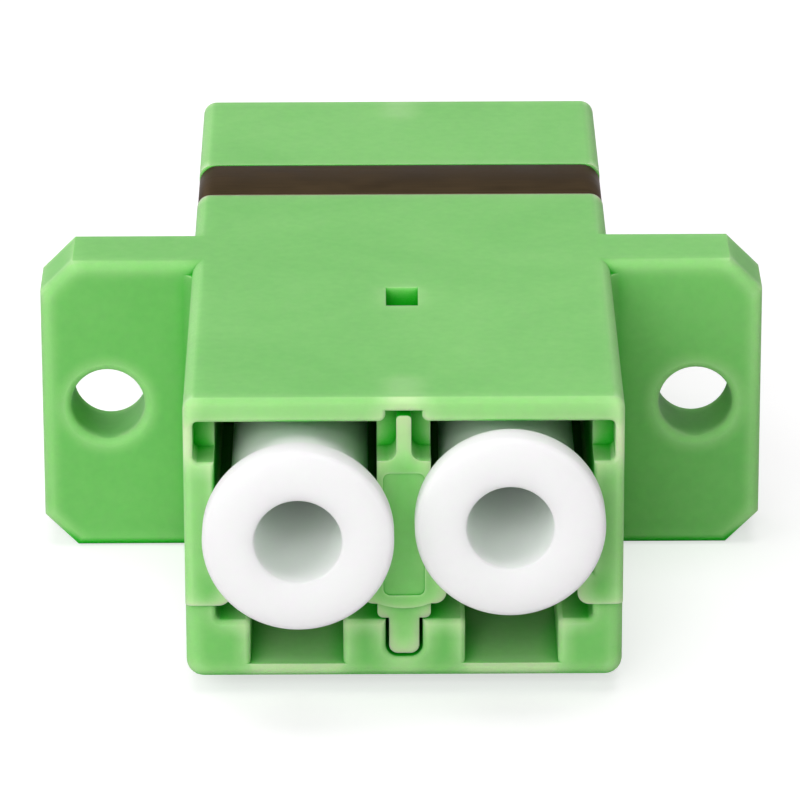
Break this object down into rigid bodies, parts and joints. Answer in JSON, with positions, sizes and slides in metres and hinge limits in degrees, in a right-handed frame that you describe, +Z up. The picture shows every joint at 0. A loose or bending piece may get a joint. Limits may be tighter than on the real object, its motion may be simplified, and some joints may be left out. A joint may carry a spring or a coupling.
{
  "type": "duplex fibre optic adapter",
  "caption": "Duplex fibre optic adapter: green housing with a screw flange and spring clip, latched ports at both ends, split alignment sleeves inside and pull-off dust caps.",
  "frame": {"origin": "on the panel face (rear face) of the flange, midway between the two screw holes", "axes": "+X across the flange to the right seen from the front ports, +Y along the fibres from the front ports to the rear ports, +Z up, away from the latch side of the ports"},
  "size_m": [0.022, 0.0317, 0.0094],
  "materials": {
    "housing": "satin moulded thermoplastic, light green",
    "insert": "satin moulded thermoplastic, light green",
    "sleeve": "ground zirconia ceramic",
    "clip": "dark rolled spring steel",
    "cap": "soft white polyethylene"
  },
  "bodies": {
    "adapter": {"housing": "housing", "front_insert": "insert", "rear_insert": "insert", "left_sleeve": "sleeve", "right_sleeve": "sleeve", "spring_clip": "clip"},
    "front_left_cap": {"front_left_cap": "cap"},
    "front_right_cap": {"front_right_cap": "cap"},
    "rear_left_cap": {"rear_left_cap": "cap"},
    "rear_right_cap": {"rear_right_cap": "cap"}
  },
  "joints": [
    {"name": "front_left_cap_pull", "type": "slide", "parent": "adapter", "child": "front_left_cap", "axis": [0, -1, 0], "range_m": [-0.00224, 0.01401]},
    {"name": "front_right_cap_pull", "type": "slide", "parent": "adapter", "child": "front_right_cap", "axis": [0, -1, 0], "range_m": [-0.00125, 0.015]},
    {"name": "rear_left_cap_pull", "type": "slide", "parent": "adapter", "child": "rear_left_cap", "axis": [0, 1, 0], "range_m": [0, 0.01625]},
    {"name": "rear_right_cap_pull", "type": "slide", "parent": "adapter", "child": "rear_right_cap", "axis": [0, 1, 0], "range_m": [0, 0.01625]}
  ]
}
